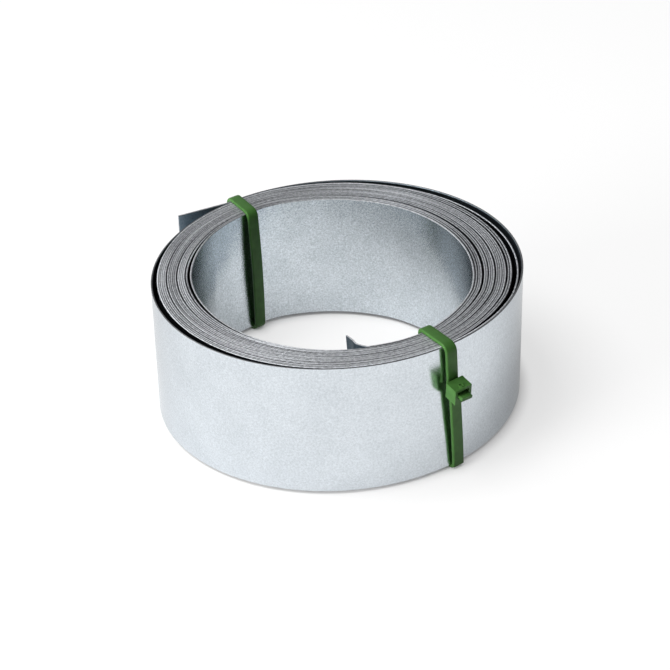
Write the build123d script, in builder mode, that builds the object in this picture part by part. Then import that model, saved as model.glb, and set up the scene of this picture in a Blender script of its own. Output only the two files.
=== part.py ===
# A small coil of galvanised steel strip, lying flat, held by two nylon cable ties.
# Millimetres; +Z is the coil's axis, z = 0 is the floor and the origin lies on the axis.
import os
from math import cos, degrees, radians, sin, sqrt

from build123d import *

os.makedirs("parts", exist_ok=True)

# Strip
strip_width = 40.0
strip_thickness = 0.5

# Wound turns: the bore is longest between the ties and lies off the coil's centre, so the pack is
# loose on one side
bore_radius = 41.2
bore_oval = 1.3
bore_shift = 1.3
loose_angle = 28.0
pack_turns = 16
gaps_loose_side = {2: 0.5, 4: 0.8, 6: 0.45, 9: 0.7, 13: 0.6, 15: 1.45}
gaps_tight_side = {2: 0.55, 7: 0.5}

# The two outermost turns have sprung oval between the ties
oval_angle = 45.0
turn_press = 0.08
second_turn_bulge = 0.8
outer_turn_bulge = 2.95

# Free ends of the strip: the outer one stands off straight, the inner one is bent into the bore
outer_end_clear = 0.35
outer_end_length = 16.3
outer_end_splay = 11.8
inner_end_angle = -81.6
inner_end_root = 3.0
inner_end_reach = 6.0
inner_end_lean = 3.9
inner_end_bend_radius = 2.4

# Cable ties, pulled tight round the coil's section
front_tie_angle = -55.0
back_tie_angle = 127.5
tie_grip_arc = 9.0
strap_width = 3.5
strap_thickness = 1.1
strap_edge = 0.3
outer_stand_off = 0.4
front_inner_stand_off = 0.4
back_inner_stand_off = 0.6
bend_clearance = 0.18
head_width = 5.5
head_depth = 4.2
head_length = 5.1
head_tilt = 9.0
head_edge = 0.4
head_height = 26.2
head_clearance = 0.15
slot_side_play = 0.12
slot_floor = 1.9
slot_room = 1.1
pawl_width = 2.0
pawl_root = 1.3
pawl_root_end = 2.8
pawl_tip = 3.4
stub_length = 1.4
mark_radius = 0.9
mark_depth = 0.12

# The coil stands on the straps that pass under it
coil_bottom = strap_thickness
coil_top = coil_bottom + strip_width
bore_center = (-bore_shift * cos(radians(loose_angle)), -bore_shift * sin(radians(loose_angle)))
bore_radius_at_ties = bore_radius + bore_oval
bore_radius_between = bore_radius - bore_oval
loose_wall = bore_radius_between - bore_shift
pack_radius = loose_wall + pack_turns * strip_thickness + sum(gaps_loose_side.values())
second_minor = pack_radius + strip_thickness - turn_press
second_major = second_minor + second_turn_bulge
outer_minor = second_minor + strip_thickness - turn_press
outer_major = outer_minor + outer_turn_bulge
outer_end_angle = back_tie_angle + degrees((strap_width / 2 + outer_end_clear) / outer_minor)


def polar(radius, angle):
    return (radius * cos(radians(angle)), radius * sin(radians(angle)))


def bore_wall(angle):
    along = cos(radians(angle - loose_angle)) / bore_radius_between
    across = sin(radians(angle - loose_angle)) / bore_radius_at_ties
    shift = bore_shift / bore_radius_between
    steep = along**2 + across**2
    return (sqrt(steep - (shift * across) ** 2) - shift * along) / steep


def outer_wall(angle):
    along = outer_minor * cos(radians(angle - oval_angle))
    across = outer_major * sin(radians(angle - oval_angle))
    return outer_major * outer_minor / sqrt(along**2 + across**2)


def wall_plane(radius, angle):
    along_wall = (*polar(1, angle + 90), 0)
    return Plane(origin=(*polar(radius, angle), coil_bottom), x_dir=along_wall, z_dir=(0, 0, 1))


def turn_line(turn, angle):
    share = turn / pack_turns
    return polar(bore_wall(angle) + share * (pack_radius - bore_wall(angle)), angle)


# One strip wound up: a turned pack with its bore, gaps where turns have sprung apart, and both ends
with BuildPart() as strip_coil:
    with BuildSketch(Plane.XZ):
        with Locations((0, coil_bottom)):
            Rectangle(pack_radius, strip_width, align=(Align.MIN, Align.MIN))
    revolve(axis=Axis.Z)

    for major, minor in ((second_major, second_minor), (outer_major, outer_minor)):
        with BuildSketch(Plane.XY.offset(coil_bottom)):
            Ellipse(major, minor, rotation=oval_angle)
            inside = (major - strip_thickness, minor - strip_thickness)
            Ellipse(*inside, rotation=oval_angle, mode=Mode.SUBTRACT)
        extrude(amount=strip_width)

    with BuildSketch(wall_plane(outer_wall(outer_end_angle), outer_end_angle)):
        with BuildLine():
            PolarLine((0, strip_thickness), outer_end_length, -outer_end_splay)
            offset(amount=strip_thickness, side=Side.RIGHT)
        make_face()
    extrude(amount=strip_width)

    with BuildSketch(Plane.XY.offset(coil_bottom)):
        with Locations(bore_center):
            Ellipse(bore_radius_between, bore_radius_at_ties, rotation=loose_angle)
    extrude(amount=strip_width, mode=Mode.SUBTRACT)

    with BuildSketch(wall_plane(bore_wall(inner_end_angle), inner_end_angle)):
        with BuildLine():
            FilletPolyline(
                (inner_end_root, -strip_thickness),
                (0, -strip_thickness),
                (-inner_end_lean, inner_end_reach),
                radius=inner_end_bend_radius,
            )
            offset(amount=strip_thickness, side=Side.LEFT)
        make_face()
    extrude(amount=strip_width)

    with BuildSketch(Plane.XY.offset(coil_bottom)):
        opened = 0
        for turn, gap in gaps_loose_side.items():
            loose_radius = loose_wall + turn * strip_thickness + opened
            with BuildLine():
                start = turn_line(turn, back_tie_angle - tie_grip_arc)
                finish = turn_line(turn, front_tie_angle + tie_grip_arc)
                ThreePointArc(start, polar(loose_radius, loose_angle), finish)
                ThreePointArc(start, polar(loose_radius + gap, loose_angle), finish)
            make_face()
            opened += gap
        for turn, gap in gaps_tight_side.items():
            with BuildLine():
                start = turn_line(turn, back_tie_angle + tie_grip_arc)
                finish = turn_line(turn, 360 + front_tie_angle - tie_grip_arc)
                middle_angle = 180 + (back_tie_angle + front_tie_angle) / 2
                middle = Vector(*turn_line(turn, middle_angle)).length
                ThreePointArc(start, polar(middle - gap / 2, middle_angle), finish)
                ThreePointArc(start, polar(middle + gap / 2, middle_angle), finish)
            make_face()
    extrude(amount=strip_width, mode=Mode.SUBTRACT)

strip_coil.part.label = "strip_coil"
export_step(strip_coil.part, "parts/strip_coil.step")

# Two cable ties, each a strap and a head moulded in one: the strap goes round the coil's section,
# comes down behind its own head and out through the slot, and is cut off just past it
for node, tie_angle, inner_stand_off in (
    ("cable_tie_front", front_tie_angle, front_inner_stand_off),
    ("cable_tie_back", back_tie_angle, back_inner_stand_off),
):
    across_strap = Vector(sin(radians(tie_angle)), -cos(radians(tie_angle)), 0)
    tie_plane = Plane(origin=(0, 0, 0), x_dir=(*polar(1, tie_angle), 0), z_dir=across_strap)
    half = strap_thickness / 2
    outer_run = outer_wall(tie_angle) + outer_stand_off + half
    inner_run = bore_wall(tie_angle) - inner_stand_off - half
    middle_run = (outer_run + inner_run) / 2
    head_back = outer_run + half + head_clearance
    slot_top = slot_floor + strap_thickness + slot_room
    head_root = tie_plane.from_local_coords(Vector(head_back, head_height))
    head_out = Vector(*polar(cos(radians(head_tilt)), tie_angle), -sin(radians(head_tilt)))
    head_plane = Plane(origin=head_root, x_dir=head_out, z_dir=across_strap)

    def in_head(out, up):
        spot = tie_plane.to_local_coords(head_plane.from_local_coords(Vector(out, up)))
        return (spot.X, spot.Y)

    with BuildPart() as cable_tie:
        with BuildSketch(head_plane):
            Rectangle(head_depth, head_length, align=(Align.MIN, Align.MIN))
        extrude(amount=head_width / 2, both=True)
        fillet(cable_tie.edges().filter_by(Axis(tie_plane.origin, across_strap)), radius=head_edge)

        with BuildSketch(Plane(cable_tie.faces().filter_by(GeomType.PLANE).sort_by(Axis.Z)[-1])):
            Circle(mark_radius)
        extrude(amount=-mark_depth, mode=Mode.SUBTRACT)

        with BuildSketch(head_plane):
            with Locations((0, slot_floor - slot_side_play)):
                Rectangle(head_depth, slot_top - slot_floor + slot_side_play, align=(Align.MIN, Align.MIN))
        extrude(amount=strap_width / 2 + slot_side_play, both=True, mode=Mode.SUBTRACT)

        with BuildSketch(head_plane):
            with BuildLine():
                Polyline(
                    (pawl_root, slot_top),
                    (pawl_tip, slot_floor + strap_thickness + slot_side_play),
                    (pawl_root_end, slot_top),
                    close=True,
                )
            make_face()
        extrude(amount=pawl_width / 2, both=True)

        with BuildLine(tie_plane) as strap_path:
            FilletPolyline(
                in_head(half, slot_floor / 2),
                (outer_run, half),
                (middle_run, half),
                radius=outer_stand_off - bend_clearance + half,
            )
            FilletPolyline(
                (middle_run, half),
                (inner_run, half),
                (inner_run, coil_top + half),
                (middle_run, coil_top + half),
                radius=inner_stand_off - bend_clearance + half,
            )
            FilletPolyline(
                (middle_run, coil_top + half),
                (outer_run, coil_top + half),
                (outer_run, in_head(outer_run - head_back, slot_floor + half)[1]),
                in_head(head_depth + stub_length, slot_floor + half),
                radius=outer_stand_off - bend_clearance + half,
            )
        strap_start = Plane(origin=strap_path.line @ 0, x_dir=across_strap, z_dir=strap_path.line % 0)
        with BuildSketch(strap_start) as strap:
            Rectangle(strap_width, strap_thickness)
            chamfer(strap.vertices(), length=strap_edge)
        sweep(path=strap_path.line)

    cable_tie.part.label = node
    export_step(cable_tie.part, f"parts/{node}.step")
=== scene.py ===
import math

import bmesh
import bpy
from mathutils import Matrix, Vector


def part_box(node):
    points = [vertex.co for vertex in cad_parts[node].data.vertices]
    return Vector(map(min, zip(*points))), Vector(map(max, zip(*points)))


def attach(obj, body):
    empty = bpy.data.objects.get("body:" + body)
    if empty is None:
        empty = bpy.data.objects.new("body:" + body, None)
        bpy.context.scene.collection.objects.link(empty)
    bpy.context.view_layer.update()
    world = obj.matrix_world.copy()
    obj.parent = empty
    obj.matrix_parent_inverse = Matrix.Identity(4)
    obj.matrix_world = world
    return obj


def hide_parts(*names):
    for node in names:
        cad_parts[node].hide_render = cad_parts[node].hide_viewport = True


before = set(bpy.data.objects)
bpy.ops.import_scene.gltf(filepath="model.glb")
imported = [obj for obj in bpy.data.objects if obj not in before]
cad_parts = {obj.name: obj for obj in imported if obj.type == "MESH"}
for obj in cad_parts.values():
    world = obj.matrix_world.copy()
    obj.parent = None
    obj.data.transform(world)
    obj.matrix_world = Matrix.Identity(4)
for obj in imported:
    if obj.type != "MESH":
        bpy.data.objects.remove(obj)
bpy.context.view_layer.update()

# The strip: one length of thin galvanised steel, slit to width and wound by hand into a coil.
# Its turns are pinched at the two ties and have sprung apart between them; the outer end stands
# off beside the back tie and the inner end is bent into the bore.
MM = 0.001
coil_low, coil_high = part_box("strip_coil")
strip_bottom, strip_top = coil_low.z, coil_high.z
strip_width = strip_top - strip_bottom
strip_thickness = 0.5 * MM
coil_radius = 53.28 * MM
winding_centre = Vector((-0.13 * MM, -0.13 * MM))
oval_share = 0.0272
turn_pitch = 0.528 * MM
whole_turns = 17
steps_per_turn = 240
outer_end_angle = 129.0
inner_end_angle = -80.0

# How far each turn has sprung off the one outside it, in mm, right and left of the ties, and over
# which arc: its middle and half its length, in degrees. Some turns have an arc of their own.
right_gaps = (
    2.24, 1.39, 0.22, 0.56, 0.06, 0.12, 0.04, 0.1, 0.46, 0.06, 0.08, 0.3, 0.08, 0.74, 0.06, 0.26, 0.36,
)
left_gaps = (
    1.45, 0.14, 0.1, 0.16, 0.1, 0.26, 0.1, 0.14, 0.1, 0.12, 0.3, 0.1, 0.14, 0.1, 0.28, 0.68, 0.1,
)
right_arc = (32, 88)
left_arc = (-122, 54)
right_arc_of_turn = {0: (47, 66), 1: (4, 60)}
left_arc_of_turn = {0: (-152, 58), 5: (-178, 52), 10: (-176, 52), 14: (-165, 60), 15: (-168, 52)}


def hump(angle, middle, half_arc):
    """1 at the middle angle, falling to 0 half an arc to either side."""
    off = (angle - middle + 180) % 360 - 180
    return math.cos(math.radians(90 * off / half_arc)) if abs(off) < half_arc else 0.0


def wound_radius():
    """The strip's outer face, step by step from the outer end inwards, clockwise from above."""
    arc = (outer_end_angle - inner_end_angle) % 360
    steps = round((whole_turns + arc / 360) * steps_per_turn)
    radii = []
    for i in range(steps + 1):
        angle = outer_end_angle - 360 * i / steps_per_turn
        if i < steps_per_turn:
            oval = 1 + oval_share * math.sin(2 * math.radians(angle))
            radii.append(coil_radius * oval + turn_pitch * (0.5 - i / steps_per_turn))
        else:
            turn = i // steps_per_turn - 1
            right = right_gaps[turn] * hump(angle, *right_arc_of_turn.get(turn, right_arc))
            left = left_gaps[turn] * hump(angle, *left_arc_of_turn.get(turn, left_arc))
            radii.append(radii[i - steps_per_turn] - turn_pitch - (right + left) * MM)
    return radii


centreline = []
for i, radius in enumerate(wound_radius()):
    angle = math.radians(outer_end_angle - 360 * i / steps_per_turn)
    middle = radius - strip_thickness / 2
    centreline.append(winding_centre + Vector((middle * math.cos(angle), middle * math.sin(angle))))

# Free ends: the outer one is straight, the inner one curves away from the bore's wall
tail_steps = 12
outer_tip = Vector((-47.45 * MM, 32.6 * MM))
tail = [outer_tip.lerp(centreline[0], j / tail_steps) for j in range(tail_steps)]
inner_end = (
    Vector((4.81 * MM, -41.0 * MM)),
    Vector((3.49 * MM, -38.66 * MM)),
    Vector((2.02 * MM, -36.56 * MM)),
)
inner_end_slant = 0.11


def smooth_through(points, pieces=8):
    """A Catmull-Rom line through the points, without the first and last one."""
    line = []
    for a, b, c, d in zip(points, points[1:], points[2:], points[3:]):
        squared = 2 * a - 5 * b + 4 * c - d
        cubed = 3 * b - a - 3 * c + d
        for j in range(pieces):
            t = j / pieces
            line.append(0.5 * (2 * b + (c - a) * t + squared * t**2 + cubed * t**3))
    return line


past_inner_end = inner_end[-1] + (inner_end[-1] - inner_end[-2])
fin = smooth_through([centreline[-2], centreline[-1], *inner_end, past_inner_end])
path = tail + centreline + fin[1:] + [inner_end[-1]]

# Section of the strip: place across its thickness, share of its width, and lift there. Slitting
# leaves one corner of each edge rolled over and the other nearly sharp.
half = strip_thickness / 2
sharp_corner = 0.04 * MM
rolled_corner = ((0.0, 0.22 * MM), (0.07 * MM, 0.04 * MM), (0.14 * MM, 0.005 * MM))
upper_edge = [
    *((-half + inwards, 1.0, -drop) for inwards, drop in rolled_corner),
    (half - sharp_corner, 1.0, 0.0),
    (half, 1.0, -sharp_corner),
]
lower_edge = [(across, 0.0, -lift) for across, _, lift in reversed(upper_edge)]
strip_section = [lower_edge[-1], *upper_edge, *lower_edge[:-1]]
bore_side, outer_side, rolled_sides = 0, 5, (1, 9)
outer_finish, bore_finish, edge_finish, painted_shade_finish, painted_gap_shade_finish = range(5)
edge_wander = 0.08 * MM


def heading(line, i):
    """The direction of a line of points at one of them."""
    return (line[min(i + 1, len(line) - 1)] - line[max(i - 1, 0)]).normalized()


def skin(shape, rings):
    """Joins the rings of points one to the next and closes both ends."""
    count = len(rings[0])
    sides = [
        [shape.faces.new((a[k], a[(k + 1) % count], b[(k + 1) % count], b[k])) for k in range(count)]
        for a, b in zip(rings, rings[1:])
    ]
    ends = [shape.faces.new(rings[0]), shape.faces.new(list(reversed(rings[-1])))]
    return sides, ends


def add_object(name, data):
    """A new object in the scene."""
    made = bpy.data.objects.new(name, data)
    bpy.context.scene.collection.objects.link(made)
    return made


def add_piece(name, shape):
    """A new mesh object from a finished shape."""
    mesh = bpy.data.meshes.new(name)
    shape.to_mesh(mesh)
    shape.free()
    return add_object(name, mesh)


def strip_mesh(name, line, outermost, innermost, fin_start):
    """A thin upright band along the line; each point keeps how far along the strip it lies.

    Its outer side lies bare up to the step outermost, its bore side from innermost on.
    """
    shape = bmesh.new()
    run = shape.verts.layers.float.new("run")
    rings = []
    travelled = 0.0
    for i, point in enumerate(line):
        ahead = heading(line, i)
        out = Vector((-ahead.y, ahead.x))
        travelled += (point - line[max(i - 1, 0)]).length
        sink = edge_wander * (1 + math.sin(travelled * 13.7) * math.cos(travelled * 5.3 + 1))
        along_fin = max(0, i - fin_start) / (len(line) - 1 - fin_start)
        cut_back = inner_end_slant * along_fin * strip_width
        ring = []
        for across, share, lift in strip_section:
            spot = point + out * across - ahead * cut_back * (1 - share)
            vert = shape.verts.new((*spot, strip_bottom + share * strip_width + lift - sink))
            vert[run] = travelled
            ring.append(vert)
        rings.append(ring)

    sides, ends = skin(shape, rings)
    bare = {bore_side: bore_finish, outer_side: outer_finish}
    for i, step in enumerate(sides):
        covered = [outer_side] if i > outermost else []
        if i < innermost:
            covered += [bore_side, *rolled_sides]
        # painted shade: near-black on faces and rolled corners hidden between turns, dark zinc on the
        # tail's and fin's faces towards the coil
        covered_painted_shade = painted_gap_shade_finish if outermost < i < fin_start else painted_shade_finish
        for k, face in enumerate(step):
            face.smooth = True
            face.material_index = covered_painted_shade if k in covered else bare.get(k, edge_finish)
    for face in ends:
        face.material_index = edge_finish
    bmesh.ops.recalc_face_normals(shape, faces=shape.faces)
    for ring, after in zip(rings, rings[1:]):
        for k in (bore_side, bore_side + 1, outer_side, outer_side + 1):
            shape.edges.get((ring[k], after[k])).smooth = False
    return add_piece(name, shape)


class Socket:
    """A node's output, with the arithmetic that adds Math nodes."""

    def __init__(self, tree, output):
        self.tree, self.output = tree, output

    def math(self, operation, *values):
        return self.tree.node("ShaderNodeMath", {"operation": operation}, dict(enumerate(values)))

    def __add__(self, other):
        return self.math("ADD", self, other)

    def __sub__(self, other):
        return self.math("SUBTRACT", self, other)

    def __rsub__(self, other):
        return self.math("SUBTRACT", other, self)

    def __mul__(self, other):
        return self.math("MULTIPLY", self, other)

    __radd__, __rmul__ = __add__, __mul__


class Finish:
    """A node tree, with one method that adds any node."""

    def __init__(self, owner):
        owner.use_nodes = True
        self.owner, self.tree = owner, owner.node_tree
        self.tree.nodes.clear()

    def node(self, kind, settings, sockets, output=0):
        made = self.tree.nodes.new(kind)
        for key, value in settings.items():
            if key == "stops":
                ramp = made.color_ramp.elements
                while len(ramp) < len(value):
                    ramp.new(1.0)
                for element, (place, colour) in zip(ramp, value):
                    element.position, element.color = place, (*colour, 1)
            else:
                setattr(made, key, value)
        for key, value in sockets.items():
            if isinstance(value, Socket):
                self.tree.links.new(value.output, made.inputs[key])
            else:
                made.inputs[key].default_value = value
        return Socket(self, made.outputs[output])

    def surface(self, shader, end="ShaderNodeOutputMaterial"):
        last = self.tree.nodes.new(end)
        self.tree.links.new(shader.output, last.inputs["Surface"])
        return self.owner


def zinc(name, dark, pale, speckle, roughness, rolled=0.0, at_graze=0.77):
    """Zinc coat: satin metal with a fine crystalline speckle and cloudy, faintly rubbed patches."""
    coat = Finish(bpy.data.materials.new(name))
    place = coat.node("ShaderNodeTexCoord", {}, {}, "Object")
    grain = coat.node(
        "ShaderNodeTexNoise", {}, {"Vector": place, "Scale": 1900.0, "Detail": 3.0, "Roughness": 0.65}
    )
    cloud = coat.node(
        "ShaderNodeTexNoise", {}, {"Vector": place, "Scale": 90.0, "Detail": 4.0, "Roughness": 0.6}
    )
    tone = coat.node(
        "ShaderNodeValToRGB",
        {"stops": ((0.3, dark), (0.7, pale))},
        {"Fac": grain * 0.75 + cloud * 0.25},
    )
    bump = coat.node("ShaderNodeBump", {}, {"Height": grain, "Strength": speckle, "Distance": 0.0001})
    return coat.surface(
        coat.node(
            "ShaderNodeBsdfPrincipled",
            {},
            {
                "Base Color": tone,
                "Metallic": 1.0,
                "Roughness": cloud * 0.12 + roughness,
                "Normal": bump,
                "Anisotropic": rolled,
                "Anisotropic Rotation": 0.25,
                "Specular Tint": (at_graze, at_graze, at_graze, 1),
            },
        )
    )


def slit_edge():
    """The sheared edge of the strip: bare steel, its tone changing along the run, darker on the outermost
    turn, with a painted highlight on the next turn and painted shade darkening it towards the back.
    """
    steel = Finish(bpy.data.materials.new("slit_edge"))
    run = steel.node("ShaderNodeAttribute", {"attribute_name": "run"}, {}, "Fac")
    along = steel.node("ShaderNodeCombineXYZ", {}, {"X": run})
    tint = steel.node("ShaderNodeTexNoise", {}, {"Vector": along, "Scale": 22.0, "Detail": 2.0})
    shear = steel.node("ShaderNodeTexNoise", {}, {"Vector": along, "Scale": 900.0, "Detail": 2.0})
    tone = steel.node(
        "ShaderNodeValToRGB",
        {"stops": ((0.32, (0.1, 0.103, 0.11)), (0.68, (0.69, 0.715, 0.75)))},
        {"Fac": tint * 0.55 + shear * 0.45},
    )
    # metres along the strip, and how bright it is there: darker on the outermost turn, and a painted
    # highlight on the next
    dark_rim_and_painted_highlight = ((0.018, 1.0), (0.03, 0.3), (0.335, 0.3), (0.365, 1.4), (0.66, 1.4), (0.72, 1.0))
    rim_and_highlight = steel.node(
        "ShaderNodeValToRGB", {"stops": [(run_to, (k, k, k)) for run_to, k in dark_rim_and_painted_highlight]}, {"Fac": run}
    )
    place = steel.node("ShaderNodeTexCoord", {}, {}, "Object")
    # painted shade: the edge's colour darkens towards the back, along the object's Y
    to_back = steel.node("ShaderNodeSeparateXYZ", {}, {"Vector": place}, "Y")
    with_painted_shade_to_back = rim_and_highlight * (0.94 - to_back * 1.8)
    colour = steel.node("ShaderNodeVectorMath", {"operation": "SCALE"}, {0: tone, "Scale": with_painted_shade_to_back})
    return steel.surface(
        steel.node(
            "ShaderNodeBsdfPrincipled",
            {},
            {"Base Color": colour, "Metallic": 0.6, "Roughness": shear * 0.15 + 0.45},
        )
    )


bare_turns = 1.03
fin_start = tail_steps + len(centreline)
strip = strip_mesh(
    "steel_strip",
    path,
    outermost=tail_steps + bare_turns * steps_per_turn,
    innermost=fin_start - bare_turns * steps_per_turn,
    fin_start=fin_start,
)
for finish in (
    zinc("zinc_outer", (0.515, 0.555, 0.59), (0.74, 0.785, 0.825), speckle=0.1, roughness=0.15, rolled=0.4),
    zinc(
        "zinc_bore", (0.39, 0.435, 0.47), (0.80, 0.855, 0.895),
        speckle=0.42, roughness=0.14, rolled=0.55, at_graze=0.62,
    ),
    slit_edge(),
    # the last two are painted shade: dark zinc for the free ends' faces towards the coil, near-black zinc
    # for faces hidden between turns
    zinc("zinc_painted_shade", (0.17, 0.215, 0.25), (0.30, 0.36, 0.405), speckle=0.1, roughness=0.3),
    zinc("zinc_painted_gap_shade", (0.05, 0.055, 0.06), (0.09, 0.1, 0.11), speckle=0.1, roughness=0.3),
):
    strip.data.materials.append(finish)
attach(strip, "root")
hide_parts("strip_coil")


# The two cable ties: green nylon, strap and head moulded in one. The strap goes round the coil's
# section, comes down behind its own head and out through the slot, and is cut off just past it.
strap_width = 3.6 * MM
strap_thickness = 1.1 * MM
strap_corner = 0.34 * MM
strap_above_floor = 0.02 * MM
strap_press = 0.002 * MM
strap_bow, bow_ease = 0.95 * MM, 14 * MM
strap_shoulder = 0.5 * MM
upper_bulge, upper_bulge_drop, upper_ease = 0.4 * MM, 7 * MM, 3 * MM
lower_bulge, lower_bulge_height, lower_ease = 0.3 * MM, 6 * MM, 5 * MM
lower_bulge_skew = 0.85
head_width, head_depth, head_length = 5.5 * MM, 4.2 * MM, 5.1 * MM
head_height = 26.3 * MM
head_tilt = 9.0
head_gap = 0.15 * MM
head_edge = 0.2 * MM
strap_root = 0.6 * MM
slot_floor, slot_top, slot_width = 1.95 * MM, 4.25 * MM, 3.84 * MM
slot_play = 0.05 * MM
slot_entry, entry_ease = 0.1 * MM, 1.0 * MM
stub_length = 1.7 * MM
pawl_width = 2.0 * MM
pawl_root, pawl_root_end, pawl_tip = 0.9 * MM, 2.7 * MM, 3.4 * MM
pawl_gap = 0.1 * MM
mark_radius = 0.75 * MM
mark_place = 0.72
mark_lip = ((1.0, -0.02 * MM), (0.94, 0.22 * MM), (0.7, 0.22 * MM), (0.58, 0.01 * MM))
mark_points = 24
crease = math.radians(40)


def rounded_line(points, bends, pieces=8):
    """The points joined by straight runs, each corner eased over its length."""
    line = [points[0]]
    for before, corner, after, ease in zip(points, points[1:], points[2:], bends):
        start = corner + (before - corner).normalized() * ease
        end = corner + (after - corner).normalized() * ease
        for j in range(pieces + 1):
            t = j / pieces
            line.append(start * (1 - t) ** 2 + corner * 2 * t * (1 - t) + end * t**2)
    line.append(points[-1])
    return line


def rounded_section(width, height, corner, pieces=4):
    """A rounded rectangle, as points across and through."""
    section = []
    for quarter, (x, y) in enumerate(((1, 1), (-1, 1), (-1, -1), (1, -1))):
        for j in range(pieces + 1):
            turn = math.radians(90 * (quarter + j / pieces))
            across = x * (width / 2 - corner) + corner * math.cos(turn)
            through = y * (height / 2 - corner) + corner * math.sin(turn)
            section.append((across, through))
    return section


def sweep(shape, line, section, across):
    """Carries the section along the line with its width held across."""
    rings = []
    for i, point in enumerate(line):
        ahead = heading(line, i)
        wide = (across - ahead * across.dot(ahead)).normalized()
        thick = wide.cross(ahead)
        rings.append([shape.verts.new(point + wide * a + thick * b) for a, b in section])
    skin(shape, rings)


def tie_mesh(name, node, angle, inner_wall, inner_gap, outer_wall, outer_gap, shifts, roll):
    """One tie, closed round the coil's section at an angle, its runs shifted sideways where they skew."""
    out = Vector((math.cos(math.radians(angle)), math.sin(math.radians(angle)), 0))
    side = Vector((-out.y, out.x, 0))
    up = Vector((0, 0, 1))
    half = strap_thickness / 2
    low = half + strap_above_floor
    high = strip_top + half - strap_press
    outer_run = outer_wall + outer_gap + half
    inner_run = inner_wall - inner_gap - half

    def at(radius, height, shift):
        return out * radius + up * height + side * shift

    def between(one, other, share=0.5):
        return shifts[one] * share + shifts[other] * (1 - share)

    def bend_round(gap):
        return 2 * gap + 1.1 * half

    tilt = math.radians(head_tilt)
    lean = side * math.sin(math.radians(roll))
    head_root = at(outer_run + half + head_gap, head_height, shifts["head"])
    head_out = out * math.cos(tilt) - up * math.sin(tilt)
    head_up = (up * math.cos(tilt) + out * math.sin(tilt) - lean).normalized()
    head_side = head_out.cross(head_up).normalized()
    if head_side.dot(side) < 0:
        head_side.negate()

    def in_head(away, rise, aside=0.0):
        return head_root + head_out * away + head_up * rise + head_side * aside

    # strap: the points that it goes through, and the length over which it bends at each
    stub_height = slot_floor + half + slot_play
    lower_shift = between("low", "head", lower_bulge_skew)
    loop = (
        (in_head(half, strap_root), 0.0),
        (at(outer_run + lower_bulge, lower_bulge_height, lower_shift), lower_ease),
        (at(outer_run, low, shifts["low"]), bend_round(outer_gap)),
        (at(inner_run, low, shifts["inner_low"]), bend_round(inner_gap)),
        (at(inner_run - strap_bow, (low + high) / 2, between("inner_low", "inner_high")), bow_ease),
        (at(inner_run, high, shifts["inner_high"]), bend_round(inner_gap)),
        (at(outer_run + strap_shoulder, high, shifts["high"]), bend_round(outer_gap + strap_shoulder)),
        (at(outer_run + upper_bulge, strip_top - upper_bulge_drop, between("high", "head")), upper_ease),
        (in_head(-half - slot_entry, stub_height), entry_ease),
        (in_head(head_depth + stub_length, stub_height), 0.0),
    )
    points, bends = zip(*loop)
    shape = bmesh.new()
    strap_section = rounded_section(strap_width, strap_thickness, strap_corner)
    sweep(shape, rounded_line(points, bends[1:-1]), strap_section, side)

    # head: four walls round the slot
    def rectangle(away, width, bottom, top):
        corners = ((-width / 2, bottom), (width / 2, bottom), (width / 2, top), (-width / 2, top))
        return [shape.verts.new(in_head(away, rise, aside)) for aside, rise in corners]

    back_out, front_out = (rectangle(away, head_width, 0.0, head_length) for away in (0.0, head_depth))
    back_in, front_in = (rectangle(away, slot_width, slot_floor, slot_top) for away in (0.0, head_depth))
    walls = []
    for k in range(4):
        n = (k + 1) % 4
        walls.append(shape.faces.new((back_out[k], back_out[n], front_out[n], front_out[k])))
        walls.append(shape.faces.new((back_in[k], front_in[k], front_in[n], back_in[n])))
        walls.append(shape.faces.new((front_out[k], front_out[n], front_in[n], front_in[k])))
        walls.append(shape.faces.new((back_out[k], back_in[k], back_in[n], back_out[n])))
    edges = dict.fromkeys(edge for wall in walls for edge in wall.edges)
    corner_edges = [edge for edge in edges if edge.calc_face_angle(0) > crease]
    bmesh.ops.bevel(
        shape, geom=corner_edges, offset=head_edge, segments=3, profile=0.6, affect="EDGES"
    )

    # pawl: a wedge that leans down on the tail from the slot's top
    wedge = (
        (pawl_root, slot_top),
        (pawl_root_end, slot_top),
        (pawl_tip, stub_height + half + pawl_gap),
    )
    skin(
        shape,
        [
            [shape.verts.new(in_head(away, rise, aside)) for away, rise in wedge]
            for aside in (-pawl_width / 2, pawl_width / 2)
        ],
    )

    # a small round moulding mark on the head's end
    mark = []
    for share, rise in mark_lip:
        ring = []
        for k in range(mark_points):
            turn = math.radians(360 / mark_points * k)
            away = head_depth * mark_place + share * mark_radius * math.cos(turn)
            aside = share * mark_radius * math.sin(turn)
            ring.append(shape.verts.new(in_head(away, head_length + rise, aside)))
        mark.append(ring)
    skin(shape, mark)

    bmesh.ops.recalc_face_normals(shape, faces=shape.faces)
    for face in shape.faces:
        face.smooth = True
    for edge in shape.edges:
        edge.smooth = edge.calc_face_angle(0) < crease
    piece = add_piece(name, shape)
    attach(piece, "root")
    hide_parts(node)
    return piece


def green_nylon():
    """Moulded nylon: deep leaf green, slightly clouded, with a soft sheen."""
    nylon = Finish(bpy.data.materials.new("green_nylon"))
    place = nylon.node("ShaderNodeTexCoord", {}, {}, "Object")
    cloud = nylon.node("ShaderNodeTexNoise", {}, {"Vector": place, "Scale": 420.0, "Detail": 3.0})
    tone = nylon.node(
        "ShaderNodeValToRGB",
        {"stops": ((0.3, (0.0295, 0.0875, 0.0168)), (0.7, (0.0395, 0.114, 0.0232)))},
        {"Fac": cloud},
    )
    bump = nylon.node("ShaderNodeBump", {}, {"Height": cloud, "Strength": 0.05, "Distance": 0.0002})
    return nylon.surface(
        nylon.node(
            "ShaderNodeBsdfPrincipled",
            {},
            {
                "Base Color": tone,
                "Roughness": cloud * 0.1 + 0.36,
                "Normal": bump,
                "Specular IOR Level": 0.2,
            },
        )
    )


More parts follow.
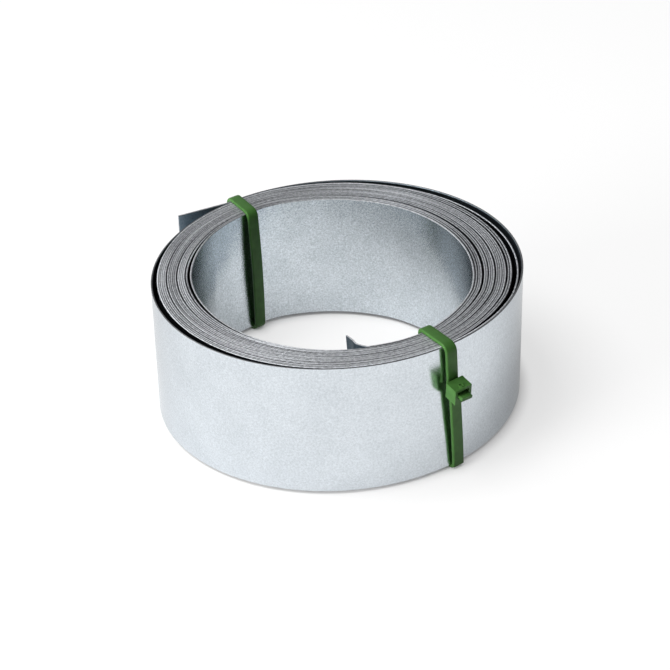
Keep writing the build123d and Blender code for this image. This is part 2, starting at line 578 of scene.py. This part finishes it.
ties = [
    tie_mesh(
        "front_tie",
        "cable_tie_front",
        angle=-55.0,
        inner_wall=42.3 * MM,
        inner_gap=0.45 * MM,
        outer_wall=51.95 * MM,
        outer_gap=0.4 * MM,
        shifts={
            "low": 2.65 * MM,
            "head": 0.2 * MM,
            "high": -0.75 * MM,
            "inner_high": -0.6 * MM,
            "inner_low": 0.8 * MM,
        },
        roll=5.0,
    ),
    tie_mesh(
        "back_tie",
        "cable_tie_back",
        angle=127.5,
        inner_wall=42.66 * MM,
        inner_gap=0.8 * MM,
        outer_wall=52.12 * MM,
        outer_gap=0.45 * MM,
        shifts={
            "low": 0.0,
            "head": 0.0,
            "high": -1.35 * MM,
            "inner_high": 0.15 * MM,
            "inner_low": -1.0 * MM,
        },
        roll=0.0,
    ),
]
nylon = green_nylon()
for tie in ties:
    tie.data.materials.append(nylon)


# The stage: a white floor that runs out to a white surround, brighter to the left, a soft lamp
# above and a second one low on the left, and the camera where the photograph was taken from.
white_to_eye, white_in_metal = 0.68, 0.4
floor_half = 3.0


def white_floor():
    """White paper: almost white to the eye and in the metal, and it keeps the coil's shadow."""
    paper = Finish(bpy.data.materials.new("white_floor"))
    seen = paper.node("ShaderNodeLightPath", {}, {}, "Is Camera Ray")
    mirrored = paper.node("ShaderNodeLightPath", {}, {}, "Is Glossy Ray")
    lit = paper.node("ShaderNodeBsdfDiffuse", {}, {"Color": (0.86, 0.86, 0.86, 1)})
    glow = paper.node("ShaderNodeEmission", {}, {"Color": (1, 1, 1, 1), "Strength": 1.0})
    open_sky = paper.node("ShaderNodeAmbientOcclusion", {}, {"Distance": 0.004}, "AO")
    share = seen * white_to_eye * open_sky + mirrored * white_in_metal
    return paper.surface(paper.node("ShaderNodeMixShader", {}, {0: share, 1: lit, 2: glow}))


floor_mesh = bpy.data.meshes.new("floor")
corners = [(x * floor_half, y * floor_half, 0) for x, y in ((-1, -1), (1, -1), (1, 1), (-1, 1))]
floor_mesh.from_pydata(corners, [], [(0, 1, 2, 3)])
floor_mesh.materials.append(white_floor())
floor = add_object("floor", floor_mesh)

surround = Finish(bpy.data.worlds.new("surround"))
bpy.context.scene.world = surround.owner
facing = surround.node("ShaderNodeTexCoord", {}, {}, "Generated")
to_right, to_back, to_top = (
    surround.node("ShaderNodeSeparateXYZ", {}, {"Vector": facing}, axis) for axis in "XYZ"
)
seen = surround.node("ShaderNodeLightPath", {}, {}, "Is Camera Ray")
mean_light, least_light = 0.5, 0.06
fading = mean_light - to_right * 0.7 - to_back * 0.03 - to_top * 0.2
soft_light = fading.math("MAXIMUM", fading, least_light)
strength = soft_light + seen * (1.0 - soft_light)
surround.surface(
    surround.node("ShaderNodeBackground", {}, {"Color": (1, 1, 1, 1), "Strength": strength}),
    "ShaderNodeOutputWorld",
)

coil_middle = Vector((0, 0, (strip_bottom + strip_top) / 2))
for name, place, size, power, in_metal in (
    ("lamp_above", (-0.38, -0.1, 0.88), 0.55, 7.7, True),
    ("lamp_left", (-1.6, -0.9, 0.12), 0.9, 96.0, False),
):
    lamp_data = bpy.data.lights.new(name, "AREA")
    lamp_data.size, lamp_data.energy = size, power
    lamp = add_object(name, lamp_data)
    lamp.location = place
    lamp.visible_glossy = in_metal
    lamp.rotation_euler = (coil_middle - lamp.location).to_track_quat("-Z", "Y").to_euler()

image_side = 670
focal_length_px = 2138.2
image_centre_px = (338.92, 326.51)
sensor_width = 36.0
camera_distance = 11.703 * coil_radius
camera_elevation = math.radians(31.93)
camera_roll = math.radians(-1.197)
camera_data = bpy.data.cameras.new("camera")
camera_data.sensor_width = sensor_width
camera_data.lens = sensor_width * focal_length_px / image_side
camera_data.shift_x = (image_side / 2 - image_centre_px[0]) / image_side
camera_data.shift_y = (image_centre_px[1] - image_side / 2) / image_side
camera_data.clip_start = 0.05
camera = add_object("camera", camera_data)
back = Vector((0, -math.cos(camera_elevation), math.sin(camera_elevation)))
up = Vector((0, math.sin(camera_elevation), math.cos(camera_elevation)))
side = Vector((1, 0, 0))
rolled_side = side * math.cos(camera_roll) + up * math.sin(camera_roll)
rolled_up = up * math.cos(camera_roll) - side * math.sin(camera_roll)
turned = Matrix((rolled_side, rolled_up, back)).transposed().to_4x4()
camera.matrix_world = Matrix.Translation(coil_middle + back * camera_distance) @ turned
bpy.context.scene.camera = camera
bpy.context.scene.view_settings.view_transform = "Standard"
